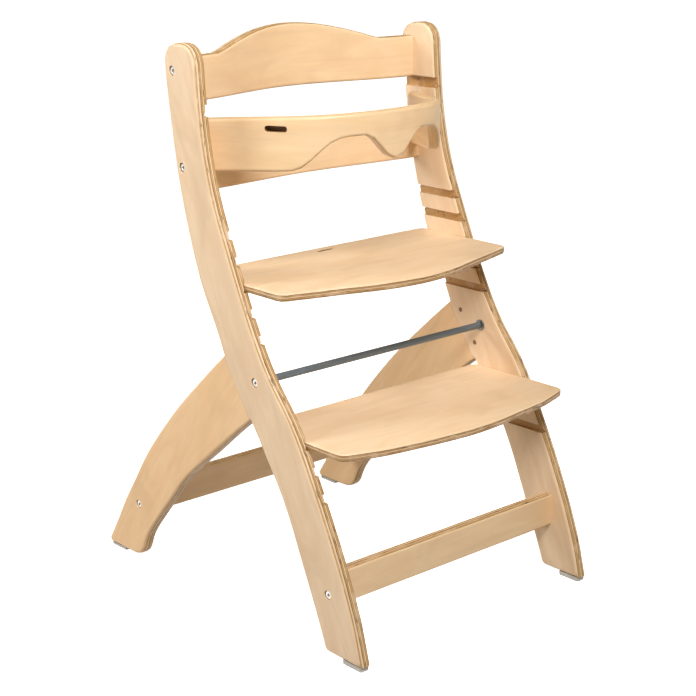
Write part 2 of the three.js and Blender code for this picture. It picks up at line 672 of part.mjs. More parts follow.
// A bolt's flat head with its hex socket faces out, and its shank ends at |x| = tip.
function bolt(sign, place, tip) {
  const headOuter = OUTER - BOLT_HEAD_SINK;
  const headInner = headOuter - BOLT_HEAD_HEIGHT;
  const profile = [
    new THREE.Vector2(0, tip),
    new THREE.Vector2(BOLT_SHANK / 2 - 0.6, tip),
    new THREE.Vector2(BOLT_SHANK / 2, tip + 0.6),
    new THREE.Vector2(BOLT_SHANK / 2, headInner),
    new THREE.Vector2(BOLT_HEAD / 2, headInner),
    new THREE.Vector2(BOLT_HEAD / 2, headOuter - 0.8),
    new THREE.Vector2(BOLT_HEAD / 2 - 0.8, headOuter),
    new THREE.Vector2(0, headOuter),
  ];
  const body = new THREE.LatheGeometry(profile, 14);
  const socket = new THREE.CylinderGeometry(HEX_SOCKET / Math.sqrt(3), HEX_SOCKET / Math.sqrt(3), 5, 6);
  socket.translate(0, headOuter, 0);
  const geometry = toGeometry(cut(toSolid(body), [socket]));
  geometry.rotateZ((-sign * Math.PI) / 2);
  geometry.translate(0, place.x, place.y);
  return geometry;
}

function barrelNut(sign, place) {
  const centre = at(sign * (INNER - NUT_INSET), place.x, place.y);
  const body = toSolid(cylinder(NUT_DIAMETER, NUT_LENGTH, Y_AXIS, centre));
  const thread = cylinder(BOLT_SHANK + 2 * GAP, 2 * NUT_DIAMETER, X_AXIS, centre);
  return toGeometry(cut(body, [thread]));
}

function rodWasher(sign) {
  const ring = new THREE.Shape();
  ring.absarc(0, 0, WASHER_DIAMETER / 2, 0, 2 * Math.PI);
  const hole = new THREE.Path();
  hole.absarc(0, 0, BOLT_SHANK / 2 + GAP, 0, 2 * Math.PI);
  ring.holes.push(hole);
  const geometry = flatBoard(ring, 0, WASHER_THICKNESS, 0, 8);
  geometry.rotateY(Math.PI / 2);
  const low = sign > 0 ? INNER - GAP - WASHER_THICKNESS : -INNER + GAP;
  geometry.translate(low, ROD_BOLT.x, ROD_BOLT.y);
  return geometry;
}

function tieRod() {
  const rod = toSolid(cylinder(ROD_DIAMETER, 2 * ROD_REACH, X_AXIS, at(0, ROD_BOLT.x, ROD_BOLT.y), 24));
  const threads = SIDES.map(({ sign }) => {
    const depth = ROD_THREAD + 2;
    const centre = at(sign * (ROD_REACH - depth / 2 + 1), ROD_BOLT.x, ROD_BOLT.y);
    return cylinder(BOLT_SHANK + 2 * GAP, depth, X_AXIS, centre);
  });
  return toGeometry(cut(rod, threads));
}

// ---- assembly ----
const JOINTED = [
  { name: 'top_rail', place: TOP_RAIL_BOLT },
  { name: 'lower_rail', place: LOWER_RAIL_BOLT },
  { name: 'front_crossbar', place: FRONT_BAR_BOLT },
  { name: 'rear_crossbar', place: REAR_BAR_BOLT },
];
const CROSSBARS = JOINTED.slice(2);

add('top_back_rail', withEndHoles(topRail, TOP_RAIL_BOLT, []), 'birch');
add('lower_back_rail', withEndHoles(lowerRail, LOWER_RAIL_BOLT, hoopScrewHoles), 'birch');
add('front_crossbar', withEndHoles(frontBar, FRONT_BAR_BOLT, barDowelHoles(FRONT_BAR_BOLT)), 'birch');
add('rear_crossbar', withEndHoles(rearBar, REAR_BAR_BOLT, barDowelHoles(REAR_BAR_BOLT)), 'birch');
add('guard_hoop', guardHoop(), 'birch');
add('seat_plate', toGeometry(cut(toSolid(plate(SEAT_REAR, SEAT_FRONT, SEAT_TOP)), [seatSlot()])), 'birch');
add('footrest_plate', toGeometry(toSolid(plate(FOOTREST_REAR, FOOTREST_FRONT, FOOTREST_TOP))), 'birch');
add('tie_rod', tieRod(), 'rod');

for (const { name: side, sign } of SIDES) {
  add(`${side}_upright`, upright(sign), 'birch');
  add(`${side}_rear_leg`, rearLeg(sign), 'birch');
  add(`${side}_rod_washer`, rodWasher(sign), 'steel');
  add(`${side}_rod_bolt`, bolt(sign, ROD_BOLT, ROD_TIP), 'steel');
  add(`${side}_front_glide`, glide(sign, FRONT_FOOT), 'glide');
  add(`${side}_rear_glide`, glide(sign, REAR_FOOT), 'glide');
  for (const { name, place } of JOINTED) {
    add(`${side}_${name}_bolt`, bolt(sign, place, NUT_TIP), 'steel');
    add(`${side}_${name}_nut`, barrelNut(sign, place), 'steel');
  }
  for (const { name, place } of CROSSBARS) {
    const dowel = cylinder(DOWEL, BAR_DOWEL_LENGTH, X_AXIS, barDowelCentre(sign, place));
    add(`${side}_${name}_dowel`, dowel, 'beech');
  }
  LEG_DOWEL_PLACES.forEach((along, k) => {
    const pinHole = legPin(sign, along, GAP);
    add(`${side}_leg_dowel_${k + 1}`, toGeometry(cut(toSolid(legDowel(sign, along, 0)), [pinHole])), 'beech');
    add(`${side}_leg_pin_${k + 1}`, toGeometry(legPin(sign, along, 0)), 'beech');
  });
  HOOP_SCREW_HEIGHTS.forEach((z, k) => {
    const [head, shank] = hoopScrew(sign, z, 0).map(toSolid);
    add(`${side}_hoop_screw_${k + 1}`, toGeometry(head.add(shank)), 'steel');
  });
}

export default chair;
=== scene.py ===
"""Looks for the plywood baby high chair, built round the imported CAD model."""

import math

import bmesh
import bpy
import numpy as np
from mathutils import Matrix, Vector


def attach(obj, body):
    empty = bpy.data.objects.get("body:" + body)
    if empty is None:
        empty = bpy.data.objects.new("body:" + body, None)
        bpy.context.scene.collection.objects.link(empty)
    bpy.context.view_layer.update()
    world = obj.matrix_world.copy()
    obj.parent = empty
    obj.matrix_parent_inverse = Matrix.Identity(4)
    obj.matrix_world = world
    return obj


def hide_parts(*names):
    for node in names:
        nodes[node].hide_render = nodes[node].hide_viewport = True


MM = 0.001

# ---- the chair's own dimensions, in millimetres ----
BOARD = 18  # thickness of every board but the two plates
PLATE = 11
OUTER = 225  # outer faces of the side boards, from the middle of the chair
INNER = OUTER - BOARD
GROOVE_DEPTH = 6
SIDES = {"left": -1, "right": 1}

# the way the grain runs on the side boards, as (Y, Z)
UPRIGHT_GRAIN = (0.400, 0.917)
LEG_GRAIN = (0.61, -0.792)

# the middle of each piece's thickness: Y at a rail's ends and its bow to the rear,
# a crossbar's Y, and a plate's Z
RAILS = {"top_back_rail": (71, 38), "lower_back_rail": (57, 14)}
CROSSBARS = {"front_crossbar": -234, "rear_crossbar": 212}
PLATES = {"seat_plate": 477.5, "footrest_plate": 286.5}

# the guard hoop's middle line in plan: a Bezier curve's (X, Y) points, from its right end to its middle
HOOP_HALF = ((207, 60), (131, -6), (157, -117.5), (0, -117.5))

# slots with round ends: the level across the board, half of the straight part, and the radius of the ends
SEAT_SLOT = (27, 12.5, 2.5)
HOOP_SLOT = (681, 12, 4)
HOOP_SLOT_Y = -45  # the hoop's middle line is at this Y at the middle of its slots

# shifts of the wood's pattern, so that no two boards look alike
UPRIGHT_SHIFT = 900
LEG_SHIFT = 300
RAIL_SHIFT = 400
CROSSBAR_SHIFT = 700
PLATE_SHIFT = 1300

# bolts, washers and tie rod: the (Y, Z) of their axes, places along X, and radii
BOLTS = {
    "top_rail": (71, 753),
    "lower_rail": (57, 626),
    "rod": (-88, 355),
    "front_crossbar": (-234, 92),
    "rear_crossbar": (212, 92),
}
HEAD_SINK = 1.4
HEAD_HEIGHT = 3.2
HEAD_TOP = OUTER - HEAD_SINK
HEAD_BOTTOM = HEAD_TOP - HEAD_HEIGHT
HEAD_RADIUS = 6.0
SHANK_RADIUS = 3.0
TIP_CHAMFER = 0.8
SOCKET_FLATS = 4.0
SOCKET_RIM = 3.0
SOCKET_DEPTH = 2.4
BOLT_TIP = 174.0
ROD_BOLT_TIP = 183.7
BOLT_HOLE = 3.4  # through the tie rod and its washers
ROD_RADIUS = 5.0
ROD_CHAMFER = 0.6
ROD_END = INNER - 2.6
WASHER_RADIUS = 8.25
WASHER_LOW = INNER - 2.3
WASHER_HIGH = INNER - 0.3

RING_POINTS = 48  # round a turned piece
SHARP_EDGE = math.radians(50)  # edges steeper than this are shaded sharp

# ---- lights and studio, in metres ----
LIGHT_TARGET = (0, 0, 0.5)
LIGHT_SIZE = 1.0
LIGHT_COLOUR = (0.98, 1.0, 1.06)
STUDIO_REACH = 30.0

# ---- linear colours of what lies open in the boards, and the painted shade inside the slots ----
GLUE_LINE = (0.17, 0.072, 0.016)
CORE_GAP = (0.045, 0.022, 0.01)
BARE_PLY = (0.56, 0.31, 0.10)
# painted shade: the dark colour given to the inner walls of the slots
SLOT_SHADE = (0.20, 0.085, 0.024)

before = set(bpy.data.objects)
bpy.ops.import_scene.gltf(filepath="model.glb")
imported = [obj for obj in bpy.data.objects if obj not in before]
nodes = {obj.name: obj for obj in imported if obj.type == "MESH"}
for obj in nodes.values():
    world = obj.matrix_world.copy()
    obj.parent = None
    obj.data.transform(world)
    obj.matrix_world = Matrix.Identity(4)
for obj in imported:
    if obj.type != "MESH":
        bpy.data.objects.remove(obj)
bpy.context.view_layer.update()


# ---- camera, floor and light ----
def make_camera():
    """The view solved from the photo's straight edges."""
    data = bpy.data.cameras.new("camera")
    camera = bpy.data.objects.new("camera", data)
    bpy.context.scene.collection.objects.link(camera)
    data.sensor_width = 36.0
    data.lens = 83.6
    data.shift_x = -0.0244
    data.shift_y = 0.1566
    data.clip_start = 0.05
    data.clip_end = 100.0
    place = Vector((-1.488, -1.739, 1.008))
    yaw, pitch, roll = (math.radians(angle) for angle in (41.50, 20.12, -0.36))
    level = math.cos(pitch)
    forward = Vector((math.sin(yaw) * level, math.cos(yaw) * level, -math.sin(pitch)))
    right = Vector((math.cos(yaw), -math.sin(yaw), 0.0))
    up = right.cross(forward)
    turned_right = right * math.cos(roll) + up * math.sin(roll)
    turned_up = up * math.cos(roll) - right * math.sin(roll)
    basis = Matrix((turned_right, turned_up, -forward)).transposed().to_4x4()
    camera.matrix_world = Matrix.Translation(place) @ basis
    bpy.context.scene.camera = camera


def make_world():
    """A weak warm surround."""
    world = bpy.data.worlds.new("studio")
    bpy.context.scene.world = world
    world.use_nodes = True
    background = world.node_tree.nodes["Background"]
    background.inputs["Color"].default_value = (1.0, 0.80, 0.48, 1)
    background.inputs["Strength"].default_value = 0.25


def soft_light(name, place, power):
    """A round area light, turned towards the middle of the chair."""
    data = bpy.data.lights.new(name, "AREA")
    data.shape = "DISK"
    data.size = LIGHT_SIZE
    data.energy = power
    data.color = LIGHT_COLOUR
    light = bpy.data.objects.new(name, data)
    light.location = place
    light.rotation_mode = "QUATERNION"
    light.rotation_quaternion = (Vector(LIGHT_TARGET) - Vector(place)).to_track_quat("-Z", "Y")
    bpy.context.scene.collection.objects.link(light)


def studio_white():
    """A white that glows, so that the studio looks white wherever the lights fall."""
    g = Graph("studio_white")
    mottle = g.noise(g.scaled(g.object_coordinates(), (3, 3, 3)), detail=3)
    g.set("Base Color", g.mix(mottle, (0.88, 0.88, 0.88), (0.92, 0.92, 0.92)))
    g.set("Roughness", 0.8)
    g.set("Specular IOR Level", 0.1)
    g.set("Emission Color", (1, 1, 1))
    g.set("Emission Strength", 1.0)
    return g.material


def add_stage(name, corners, faces, material):
    """Part of the white studio. It lights nothing by diffuse bounces."""
    mesh = bpy.data.meshes.new(name)
    mesh.from_pydata(corners, [], faces)
    mesh.materials.append(material)
    piece = bpy.data.objects.new(name, mesh)
    bpy.context.scene.collection.objects.link(piece)
    piece.visible_diffuse = False
    return piece


def make_studio():
    """A white floor, and four white walls far away that only the camera sees."""
    white = studio_white()
    foot = [(x * STUDIO_REACH, y * STUDIO_REACH, 0) for x, y in ((-1, -1), (1, -1), (1, 1), (-1, 1))]
    head = [(x, y, STUDIO_REACH) for x, y, _ in foot]
    walls = [(k, (k + 1) % 4, (k + 1) % 4 + 4, k + 4) for k in range(4)]
    add_stage("floor", foot, [(0, 1, 2, 3)], white)
    backdrop = add_stage("backdrop", foot + head, walls, white)
    backdrop.visible_glossy = False
    backdrop.visible_shadow = False


# ---- node graphs ----
class Graph:
    """A material with one Principled shader, and short calls for the nodes that feed it."""

    def __init__(self, name):
        self.material = bpy.data.materials.new(name)
        self.material.use_nodes = True
        self.tree = self.material.node_tree
        self.shader = self.tree.nodes["Principled BSDF"]

    def node(self, kind, **settings):
        made = self.tree.nodes.new(kind)
        for key, value in settings.items():
            setattr(made, key, value)
        return made

    def feed(self, socket, value):
        if isinstance(value, bpy.types.NodeSocket):
            self.tree.links.new(value, socket)
        elif isinstance(value, tuple) and len(value) == 3 and socket.type == "RGBA":
            socket.default_value = (*value, 1.0)
        else:
            socket.default_value = value

    def set(self, name, value):
        self.feed(self.shader.inputs[name], value)

    def math(self, operation, *values):
        made = self.node("ShaderNodeMath", operation=operation)
        for socket, value in zip(made.inputs, values):
            self.feed(socket, value)
        return made.outputs[0]

    def plus(self, first, second):
        return self.math("ADD", first, second)

    def minus(self, first, second):
        return self.math("SUBTRACT", first, second)

    def times(self, first, second):
        return self.math("MULTIPLY", first, second)

    def absolute(self, value):
        return self.math("ABSOLUTE", value)

    def smooth(self, value, low, high, to_low=0.0, to_high=1.0):
        made = self.node("ShaderNodeMapRange", interpolation_type="SMOOTHSTEP")
        for socket, given in zip(made.inputs, (value, low, high, to_low, to_high)):
            self.feed(socket, given)
        return made.outputs[0]

    def mix(self, factor, first, second):
        made = self.node("ShaderNodeMix", data_type="RGBA")
        self.feed(made.inputs[0], factor)
        self.feed(made.inputs[6], first)
        self.feed(made.inputs[7], second)
        return made.outputs[2]

    def combine(self, x, y, z):
        made = self.node("ShaderNodeCombineXYZ")
        for socket, value in zip(made.inputs, (x, y, z)):
            self.feed(socket, value)
        return made.outputs[0]

    def split(self, vector):
        made = self.node("ShaderNodeSeparateXYZ")
        self.feed(made.inputs[0], vector)
        return made.outputs[0], made.outputs[1], made.outputs[2]

    def scaled(self, vector, scale):
        made = self.node("ShaderNodeVectorMath", operation="MULTIPLY")
        self.feed(made.inputs[0], vector)
        made.inputs[1].default_value = scale
        return made.outputs[0]

    def noise(self, vector, detail, roughness=0.5, distortion=0.0, scale=1.0):
        made = self.node("ShaderNodeTexNoise")
        self.feed(made.inputs["Vector"], vector)
        made.inputs["Scale"].default_value = scale
        made.inputs["Detail"].default_value = detail
        made.inputs["Roughness"].default_value = roughness
        made.inputs["Distortion"].default_value = distortion
        return made.outputs[0]

    def attribute(self, name):
        return self.node("ShaderNodeAttribute", attribute_name=name).outputs["Vector"]

    def object_coordinates(self):
        return self.node("ShaderNodeTexCoord").outputs["Object"]

    def bump(self, height, strength, distance):
        """Roughens the surface by a height. distance is in millimetres."""
        made = self.node("ShaderNodeBump")
        made.inputs["Strength"].default_value = strength
        made.inputs["Distance"].default_value = distance * MM
        self.feed(made.inputs["Height"], height)
        self.set("Normal", made.outputs[0])


# ---- plywood ----
class PlyGraph(Graph):
    """The parts of a plywood material. The board attribute holds each point's place in the board, in metres:
    along the grain, across it, and through the board from the middle of its thickness.
    """

    def __init__(self, name, thickness, plies):
        super().__init__(name)
        self.board = self.attribute("board")
        self.along, self.across, self.through = self.split(self.board)
        self.half = thickness * MM / 2
        self.plies = plies

    def in_plane(self, scale, third):
        """Places for a texture that is the same all through the board, except for what third adds."""
        return self.combine(self.times(self.along, scale), self.times(self.across, scale), third)

    def under_faces(self, start, full, strength=1.0):
        """Rises from 0 to strength between two depths under the board's faces, in millimetres."""
        from_middle = self.absolute(self.through)
        return self.smooth(from_middle, self.half - full * MM, self.half - start * MM, strength, 0.0)

    def depth(self):
        """How many plies deep each point lies, with plies of uneven thickness and wavy borders."""
        slow = self.noise(self.in_plane(9, 0.0), detail=2)
        quick = self.noise(self.in_plane(70, 3.0), detail=2)
        depth = self.math("DIVIDE", self.plus(self.through, self.half), 2 * self.half / self.plies)
        depth = self.plus(depth, self.times(self.math("SINE", self.times(depth, 2.3)), 0.24))
        depth = self.plus(depth, self.times(self.minus(slow, 0.5), 0.55))
        depth = self.plus(depth, self.times(self.minus(quick, 0.5), 0.16))
        return self.math("MINIMUM", self.math("MAXIMUM", depth, 0.5), self.plies - 0.5)

    def glue_line(self, depth):
        """1 on the borders between plies, and 0 away from them."""
        place = self.math("FRACT", self.plus(depth, 0.5))
        return self.smooth(self.absolute(self.minus(place, 0.5)), 0.05, 0.18, 1.0, 0.0)

    def veneer(self, layer, fibre, pale, warm, shade):
        """The colour of the faces and of every other ply. Each ply has its own stretch of wood."""
        shift = self.times(layer, 0.37)
        run = self.plus(self.times(self.along, 7.0), shift)
        width = self.times(self.across, 7.0)

        def stretched(run_scale, width_scale):
            return self.combine(self.times(run, run_scale), self.times(width, width_scale), shift)

        grain = self.noise(stretched(1.1, 4.2), detail=4, roughness=0.6, distortion=0.8)
        streak = self.noise(stretched(0.7, 13.0), detail=3, roughness=0.6, distortion=0.5)
        cloud = self.noise(stretched(0.9, 2.0), detail=2, distortion=0.8, scale=1.3)
        fleck = self.smooth(self.noise(self.scaled(self.board, (90, 900, 900)), detail=1), 0.66, 0.74)
        colour = self.mix(self.smooth(grain, 0.34, 0.66), pale, warm)
        colour = self.mix(self.smooth(streak, 0.50, 0.72, 0.0, 0.35), colour, shade)
        colour = self.mix(self.smooth(cloud, 0.48, 0.74, 0.0, 0.50), colour, shade)
        colour = self.mix(self.smooth(fibre, 0.35, 0.75, 0.0, 0.28), colour, warm)
        return self.mix(self.times(fleck, 0.30), colour, shade)

    def end_grain(self, core):
        """The colour of the plies that are cut across their grain."""
        fibre = self.noise(self.scaled(self.board, (900, 60, 900)), detail=3, roughness=0.6)
        return self.mix(self.smooth(fibre, 0.3, 0.7), core, tuple(0.72 * c for c in core))

    def gaps(self, strength):
        """A few short dark gaps, well in from the faces."""
        spots = self.noise(self.scaled(self.board, (55, 55, 520)), detail=2, roughness=0.45)
        return self.times(self.smooth(spots, 0.65, 0.69), self.under_faces(2, 3, strength))

    def bare_ply(self, level):
        """Uneven patches on the surfaces that lie at a level from the middle of the thickness."""
        away = self.absolute(self.minus(self.through, level * MM))
        bare = self.smooth(away, 0.25 * MM, 0.5 * MM, 1.0, 0.0)
        blotch = self.noise(self.in_plane(60, 9.0), detail=3, roughness=0.6)
        return self.times(bare, self.smooth(blotch, 0.35, 0.60, 0.35, 0.95))

    def slot_shade(self, middle, level, straight, radius):
        """Painted shade on the inner walls of a slot with round ends, and of its mirror image about along =
        0.
        """
        from_middle = self.absolute(self.minus(self.absolute(self.along), middle * MM))
        past_end = self.math("MAXIMUM", self.minus(from_middle, straight * MM), 0.0)
        aside = self.minus(self.across, level * MM)
        away = self.math("SQRT", self.plus(self.times(past_end, past_end), self.times(aside, aside)))
        inside = self.smooth(away, (radius + 2.0) * MM, (radius + 2.5) * MM, 1.0, 0.0)
        return self.times(inside, self.under_faces(0.2, 0.5, 0.92))


def plywood(name, thickness, plies, pale, warm, shade, core, layering=1.0, groove_floor=None, slot=None):
    """Layered birch with a satin lacquer.

    pale and warm are the face veneer's two tones, shade its darker clouds, and core the end-grain plies.
    layering is how strongly the plies, their glue lines and their gaps show.
    groove_floor is the level of the grooves' floors, where a darker ply is laid bare.
    slot is a slot whose inner walls get painted shade, given as its middle along the board, level, half
    straight part and radius.
    """
    g = PlyGraph(name, thickness, plies)
    depth = g.depth()
    layer = g.math("FLOOR", depth)
    fibre = g.noise(g.scaled(g.board, (16, 620, 620)), detail=4, roughness=0.6)

    # on the edges every other ply shows its end grain, with glue lines between plies, both uneven
    edge = g.under_faces(0.8, 1.5)
    patch = g.noise(g.in_plane(26, g.times(layer, 4.7)), detail=3, roughness=0.6)
    patch = g.smooth(patch, 0.30, 0.56)
    crossed = g.times(g.math("MODULO", layer, 2.0), edge)
    end_share = g.times(crossed, g.smooth(patch, 0.0, 1.0, 0.45 * layering, 0.95 * layering))
    glue = g.times(g.glue_line(depth), edge)
    glue_share = g.times(glue, g.smooth(patch, 0.0, 1.0, 0.42 * layering, 0.95 * layering))
    gap = g.gaps(layering)

    wood = g.mix(end_share, g.veneer(layer, fibre, pale, warm, shade), g.end_grain(core))
    wood = g.mix(glue_share, wood, GLUE_LINE)
    wood = g.mix(g.times(gap, 0.9), wood, CORE_GAP)
    if groove_floor is not None:
        wood = g.mix(g.bare_ply(groove_floor), wood, BARE_PLY)
    if slot is not None:
        # painted shade darkens the slots' inner walls
        wood = g.mix(g.slot_shade(*slot), wood, SLOT_SHADE)
    g.set("Base Color", wood)

    polish = g.plus(0.38, g.times(fibre, 0.16))
    g.set("Roughness", g.plus(polish, g.times(end_share, 0.15)))
    g.set("Specular IOR Level", 0.40)
    g.set("Coat Weight", 0.08)
    g.set("Coat Roughness", 0.30)

    height = g.times(fibre, 0.12)
    height = g.minus(height, g.times(glue_share, 0.35))
    height = g.minus(height, g.times(gap, 1.2))
    height = g.minus(height, g.times(end_share, 0.15))
    g.bump(height, strength=0.5, distance=0.4)
    return g.material


# ---- where each point of a board lies: along its grain, across it, and through it, in millimetres ----
def side_space(points, grain, shift):
    """A side board, whose grain runs in the (Y, Z) plane."""
    grain_y, grain_z = grain
    y, z = points[:, 1], points[:, 2]
    along = y * grain_y + z * grain_z
    across = y * grain_z - z * grain_y
    through = np.abs(points[:, 0]) - (OUTER + INNER) / 2
    return np.stack([along + shift, across + shift, through], axis=1)


def rail_space(points, end_y, bow, shift):
    """A back rail, whose middle follows a raised cosine from side to side."""
    u = np.clip(np.abs(points[:, 0]) / INNER, 0, 1)
    spine = end_y + bow * (0.5 + 0.5 * np.cos(math.pi * u))
    slope = bow * 0.5 * math.pi / INNER * np.sin(math.pi * u)
    through = (points[:, 1] - spine) / np.sqrt(1 + slope**2)
    return np.stack([points[:, 0] + shift, points[:, 2] + shift, through], axis=1)


def crossbar_space(points, middle_y, shift):
    return np.stack([points[:, 0] + shift, points[:, 2] + shift, points[:, 1] - middle_y], axis=1)


def plate_space(points, middle_z, shift):
    return np.stack([points[:, 0] + shift, points[:, 1] + shift, points[:, 2] - middle_z], axis=1)


def hoop_line():
    """The hoop's middle line in plan, and how far each point lies along it from the middle of the hoop."""
    t = np.linspace(0, 1, 600)[:, None]
    p = [np.array(corner, float) for corner in HOOP_HALF]
    half = (1 - t) ** 3 * p[0] + 3 * (1 - t) ** 2 * t * p[1] + 3 * (1 - t) * t**2 * p[2] + t**3 * p[3]
    line = np.concatenate([half * [-1, 1], half[::-1][1:]])
    steps = np.linalg.norm(np.diff(line, axis=0), axis=1)
    run = np.concatenate([[0], np.cumsum(steps)])
    return line, run - run[-1] / 2


def hoop_space(points):
    """The guard hoop, along its curved middle line, up it, and through it."""
    line, run = hoop_line()
    ahead = np.gradient(line, axis=0)
    ahead /= np.linalg.norm(ahead, axis=1)[:, None]
    away = points[:, None, :2] - line[None]
    nearest = np.argmin((away**2).sum(axis=2), axis=1)
    off = away[np.arange(len(points)), nearest]
    through = -off[:, 0] * ahead[nearest, 1] + off[:, 1] * ahead[nearest, 0]
    return np.stack([run[nearest], points[:, 2], through], axis=1)


def hoop_slot_middle():
    """How far along the hoop, from its middle, its slots lie."""
    line, run = hoop_line()
    left_y = line[: len(line) // 2, 1]
    return abs(run[np.argmin(np.abs(left_y - HOOP_SLOT_Y))])


def points_mm(mesh):
    places = np.zeros(len(mesh.vertices) * 3, np.float32)
    mesh.vertices.foreach_get("co", places)
    return places.reshape(-1, 3).astype(float) / MM


def lay_grain(node, space, *details):
    """Writes the board attribute on a CAD node from one of the functions above."""
    mesh = nodes[node].data
    values = space(points_mm(mesh), *details) * MM
    layer = mesh.attributes.new("board", "FLOAT_VECTOR", "POINT")
    layer.data.foreach_set("vector", values.astype(np.float32).ravel())


# ---- smooth shading ----
def smooth_faces_group():
    """Joins split corners, then shades smooth across every edge that isn't sharp."""
    group = bpy.data.node_groups.new("smooth_faces", "GeometryNodeTree")
    group.interface.new_socket("Geometry", in_out="INPUT", socket_type="NodeSocketGeometry")
    group.interface.new_socket("Geometry", in_out="OUTPUT", socket_type="NodeSocketGeometry")
    start = group.nodes.new("NodeGroupInput")
    end = group.nodes.new("NodeGroupOutput")
    merge = group.nodes.new("GeometryNodeMergeByDistance")
    merge.inputs["Distance"].default_value = 0.01 * MM
    faces = group.nodes.new("GeometryNodeSetShadeSmooth")
    faces.domain = "FACE"
    edges = group.nodes.new("GeometryNodeSetShadeSmooth")
    edges.domain = "EDGE"
    edges.inputs["Shade Smooth"].default_value = False
    angle = group.nodes.new("GeometryNodeInputMeshEdgeAngle")
    steep = group.nodes.new("FunctionNodeCompare")
    steep.operation = "GREATER_THAN"
    steep.inputs[1].default_value = SHARP_EDGE
    link = group.links.new
    link(start.outputs[0], merge.inputs["Geometry"])
    link(merge.outputs[0], faces.inputs["Geometry"])
    link(faces.outputs[0], edges.inputs["Geometry"])
    link(angle.outputs[0], steep.inputs[0])
    link(steep.outputs[0], edges.inputs["Selection"])
    link(edges.outputs[0], end.inputs[0])
    return group


def smooth_shade(obj, group):
    smooth = obj.modifiers.new("smooth_faces", "NODES")
    smooth.node_group = group
    weigh = obj.modifiers.new("flat_faces_stay_flat", "WEIGHTED_NORMAL")
    weigh.keep_sharp = True
    weigh.weight = 100


# ---- metals, plastic and small wood ----
def steel(name, base, rough, scale):
    g = Graph(name)
    brushed = g.noise(g.scaled(g.object_coordinates(), scale), detail=4, roughness=0.6)
    dull = g.noise(g.object_coordinates(), detail=3, scale=180.0)
    g.set("Base Color", g.mix(g.smooth(brushed, 0.3, 0.7), base, tuple(0.8 * c for c in base)))
    g.set("Roughness", g.plus(rough, g.times(dull, 0.16)))
    g.set("Metallic", 1.0)
    g.bump(brushed, strength=0.25, distance=0.05)
    return g.material


def painted_rod():
    g = Graph("rod_grey")
    drawn = g.noise(g.scaled(g.object_coordinates(), (40, 900, 900)), detail=4, roughness=0.6)
    wear = g.noise(g.object_coordinates(), detail=4, scale=60.0)
    g.set("Base Color", g.mix(g.smooth(drawn, 0.3, 0.7), (0.17, 0.21, 0.235), (0.125, 0.155, 0.175)))
    g.set("Roughness", g.plus(0.34, g.times(wear, 0.2)))
    g.set("Metallic", 0.3)
    g.bump(drawn, strength=0.25, distance=0.06)
    return g.material


def glide_plastic():
    g = Graph("glide_plastic")
    grain = g.noise(g.object_coordinates(), detail=2, scale=1400.0)
    tone = g.noise(g.object_coordinates(), detail=3, scale=90.0)
    g.set("Base Color", g.mix(tone, (0.62, 0.60, 0.55), (0.50, 0.485, 0.45)))
    g.set("Roughness", g.plus(0.45, g.times(grain, 0.15)))
    g.set("Subsurface Weight", 0.15)
    g.set("Subsurface Scale", 2 * MM)
    g.bump(grain, strength=0.2, distance=0.05)
    return g.material


def small_wood(name, light, dark, stretch):
    g = Graph(name)
    rings = g.noise(g.scaled(g.object_coordinates(), stretch), detail=4, roughness=0.6)
    g.set("Base Color", g.mix(g.smooth(rings, 0.3, 0.7), light, dark))
    g.set("Roughness", g.plus(0.55, g.times(rings, 0.15)))
    g.bump(rings, strength=0.3, distance=0.1)
    return g.material


# ---- turned pieces ----
def ring(bm, radius, x):
    """A ring of points round the X axis. radius may be a number or a function of the angle."""
    points = []
    for k in range(RING_POINTS):
        angle = 2 * math.pi * k / RING_POINTS
        r = radius(angle) if callable(radius) else radius
        points.append(bm.verts.new((x * MM, r * math.cos(angle) * MM, r * math.sin(angle) * MM)))
    return points


def lathe(name, profile, place, flip, closed):
    """Turns a profile of (radius, x) about an axis along X at a (y, z) place. flip -1 mirrors it to the left.
    A closed profile makes a tube, and any other has a face at each end.
    """
    bm = bmesh.new()
    loops = [ring(bm, radius, x) for radius, x in profile]
    pairs = list(zip(loops, loops[1:]))
    if closed:
        pairs.append((loops[-1], loops[0]))
    else:
        bm.faces.new(loops[0])
        bm.faces.new(loops[-1])
    for first, second in pairs:
        for k in range(RING_POINTS):
            j = (k + 1) % RING_POINTS
            bm.faces.new((first[k], first[j], second[j], second[k]))
    if flip < 0:
        bmesh.ops.scale(bm, vec=(-1, 1, 1), verts=bm.verts)
    bmesh.ops.recalc_face_normals(bm, faces=bm.faces)
    mesh = bpy.data.meshes.new(name)
    bm.to_mesh(mesh)
    bm.free()
    mesh.transform(Matrix.Translation((0, place[0] * MM, place[1] * MM)))
    piece = bpy.data.objects.new(name, mesh)
    bpy.context.scene.collection.objects.link(piece)
    return piece


def hexagon(flats):
    """The radius of a hexagon, given across its flats, at an angle."""
    def radius(angle):
        sector = (angle % (math.pi / 3)) - math.pi / 6
        return flats / 2 / math.cos(sector)

    return radius


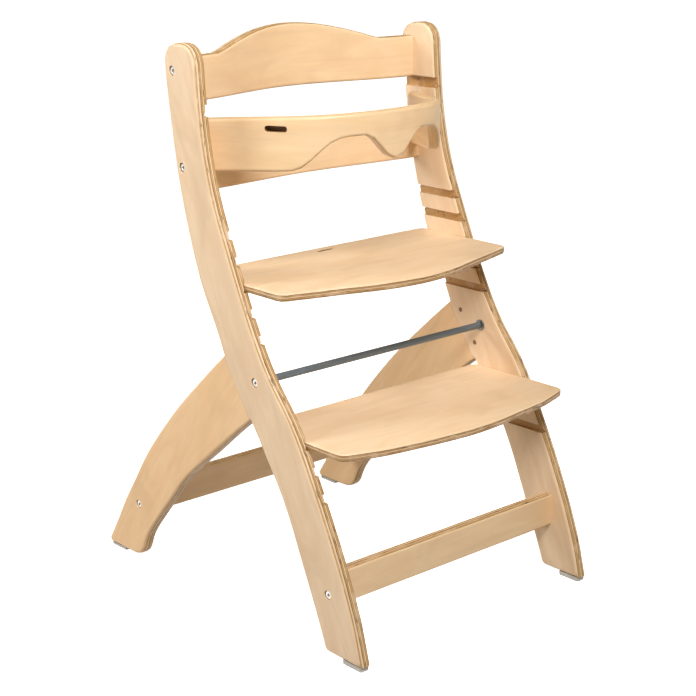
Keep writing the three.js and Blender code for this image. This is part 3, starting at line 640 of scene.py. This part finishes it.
def bolt_profile(tip):
    """A bolt from its tip to the floor of the hex socket in its head."""
    return [
        (SHANK_RADIUS - TIP_CHAMFER, tip),
        (SHANK_RADIUS, tip + TIP_CHAMFER),
        (SHANK_RADIUS, HEAD_BOTTOM),
        (HEAD_RADIUS - 0.15, HEAD_BOTTOM),
        (HEAD_RADIUS, HEAD_BOTTOM + 0.2),
        (HEAD_RADIUS, HEAD_TOP - 1.0),
        (HEAD_RADIUS - 0.2, HEAD_TOP - 0.5),
        (HEAD_RADIUS - 0.6, HEAD_TOP - 0.15),
        (HEAD_RADIUS - 1.2, HEAD_TOP),
        (SOCKET_RIM + 0.3, HEAD_TOP),
        (SOCKET_RIM, HEAD_TOP - 0.12),
        (hexagon(SOCKET_FLATS + 0.4), HEAD_TOP - 0.25),
        (hexagon(SOCKET_FLATS), HEAD_TOP - 0.5),
        (hexagon(SOCKET_FLATS), HEAD_TOP - SOCKET_DEPTH),
        (hexagon(SOCKET_FLATS - 1.0), HEAD_TOP - SOCKET_DEPTH - 0.1),
        (0.9, HEAD_TOP - SOCKET_DEPTH - 0.4),
    ]


def washer_profile():
    """A washer with a rounded rim, between an end of the tie rod and the upright."""
    return [
        (BOLT_HOLE, WASHER_LOW),
        (WASHER_RADIUS - 0.65, WASHER_LOW),
        (WASHER_RADIUS - 0.15, WASHER_LOW + 0.3),
        (WASHER_RADIUS, WASHER_LOW + 0.9),
        (WASHER_RADIUS, WASHER_HIGH - 0.4),
        (WASHER_RADIUS - 0.25, WASHER_HIGH),
        (BOLT_HOLE, WASHER_HIGH),
    ]


def rod_profile():
    """The tie rod, a tube with chamfered ends."""
    return [
        (BOLT_HOLE, -ROD_END),
        (ROD_RADIUS - ROD_CHAMFER, -ROD_END),
        (ROD_RADIUS, -ROD_END + 0.7),
        (ROD_RADIUS, ROD_END - 0.7),
        (ROD_RADIUS - ROD_CHAMFER, ROD_END),
        (BOLT_HOLE, ROD_END),
    ]


def add_turned(name, node, profile, place, flip, material, closed=False):
    piece = lathe(name, profile, place, flip, closed)
    piece.data.materials.append(material)
    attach(piece, "frame")
    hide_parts(node)
    smooth_shade(piece, smooth_group)


# ---- what the CAD pieces are made of ----
def dress(node, material):
    obj = nodes[node]
    if not obj.data.materials:
        obj.data.materials.append(material)
    for slot in obj.material_slots:
        slot.material = material


def dress_sides():
    upright_ply = plywood(
        "ply_sides", BOARD, plies=6, groove_floor=GROOVE_DEPTH - BOARD / 2,
        pale=(0.87, 0.66, 0.44), warm=(0.81, 0.58, 0.36),
        shade=(0.68, 0.48, 0.29), core=(0.58, 0.345, 0.115),
    )
    leg_ply = plywood(
        "ply_legs", BOARD, plies=7,
        pale=(0.88, 0.60, 0.32), warm=(0.83, 0.53, 0.26),
        shade=(0.70, 0.44, 0.21), core=(0.56, 0.33, 0.12),
    )
    for side, sign in SIDES.items():
        lay_grain(f"{side}_upright", side_space, UPRIGHT_GRAIN, UPRIGHT_SHIFT * sign)
        dress(f"{side}_upright", upright_ply)
        lay_grain(f"{side}_rear_leg", side_space, LEG_GRAIN, LEG_SHIFT * sign)
        dress(f"{side}_rear_leg", leg_ply)


def dress_rails_and_crossbars():
    rail_ply = plywood(
        "ply_rails", BOARD, plies=7,
        pale=(0.86, 0.64, 0.39), warm=(0.82, 0.57, 0.325),
        shade=(0.69, 0.47, 0.27), core=(0.54, 0.315, 0.105),
    )
    for k, (node, (end_y, bow)) in enumerate(RAILS.items()):
        lay_grain(node, rail_space, end_y, bow, RAIL_SHIFT * k)
        dress(node, rail_ply)
    for k, (node, middle_y) in enumerate(CROSSBARS.items()):
        lay_grain(node, crossbar_space, middle_y, CROSSBAR_SHIFT * k)
        dress(node, rail_ply)


def dress_plates():
    # the footrest's shift puts it out of the slot's reach
    plate_ply = plywood(
        "ply_plates", PLATE, plies=5, slot=(0, *SEAT_SLOT),
        pale=(0.86, 0.645, 0.42), warm=(0.82, 0.585, 0.355),
        shade=(0.68, 0.475, 0.285), core=(0.48, 0.265, 0.08),
    )
    for k, (node, middle_z) in enumerate(PLATES.items()):
        lay_grain(node, plate_space, middle_z, PLATE_SHIFT * k)
        dress(node, plate_ply)


def dress_hoop():
    hoop_ply = plywood(
        "ply_hoop", BOARD, plies=7, layering=0.18, slot=(hoop_slot_middle(), *HOOP_SLOT),
        pale=(0.86, 0.63, 0.37), warm=(0.82, 0.565, 0.31),
        shade=(0.69, 0.47, 0.27), core=(0.60, 0.40, 0.20),
    )
    lay_grain("guard_hoop", hoop_space)
    dress("guard_hoop", hoop_ply)


def dress_small_pieces():
    plain_steel = steel("nut_steel", (0.58, 0.57, 0.53), 0.30, (300, 2500, 300))
    plastic = glide_plastic()
    beech = small_wood("dowel_beech", (0.66, 0.42, 0.24), (0.52, 0.31, 0.16), (60, 900, 900))
    brown = small_wood("pin_brown", (0.28, 0.13, 0.045), (0.18, 0.08, 0.026), (700, 700, 700))
    for node in nodes:
        if node.endswith(("_nut", "_hoop_screw_1", "_hoop_screw_2")):
            dress(node, plain_steel)
        elif "_leg_pin_" in node:
            dress(node, brown)
        elif "dowel" in node:
            dress(node, beech)
        elif node.endswith("_glide"):
            dress(node, plastic)


def add_bolts_washers_and_rod():
    bright_steel = steel("bolt_steel", (0.62, 0.61, 0.58), 0.22, (2500, 300, 2500))
    dark_steel = steel("washer_steel", (0.20, 0.20, 0.195), 0.34, (300, 1500, 1500))
    rod_place = BOLTS["rod"]
    for side, sign in SIDES.items():
        for name, place in BOLTS.items():
            tip = ROD_BOLT_TIP if name == "rod" else BOLT_TIP
            add_turned(
                f"{side}_{name}_hex_bolt", f"{side}_{name}_bolt",
                bolt_profile(tip), place, sign, bright_steel,
            )
        add_turned(
            f"{side}_rod_end_washer", f"{side}_rod_washer",
            washer_profile(), rod_place, sign, dark_steel, closed=True,
        )
    add_turned(
        "grey_tie_rod", "tie_rod",
        rod_profile(), rod_place, 1, painted_rod(), closed=True,
    )


# ---- build ----
make_camera()
make_world()
soft_light("front", (-0.65, -1.32, 2.05), 49)
soft_light("back", (-1.75, 1.05, 1.42), 28)
make_studio()
smooth_group = smooth_faces_group()

dress_sides()
dress_rails_and_crossbars()
dress_plates()
dress_hoop()
dress_small_pieces()
add_bolts_washers_and_rod()
for obj in nodes.values():
    smooth_shade(obj, smooth_group)

bpy.context.scene.view_settings.view_transform = "Standard"
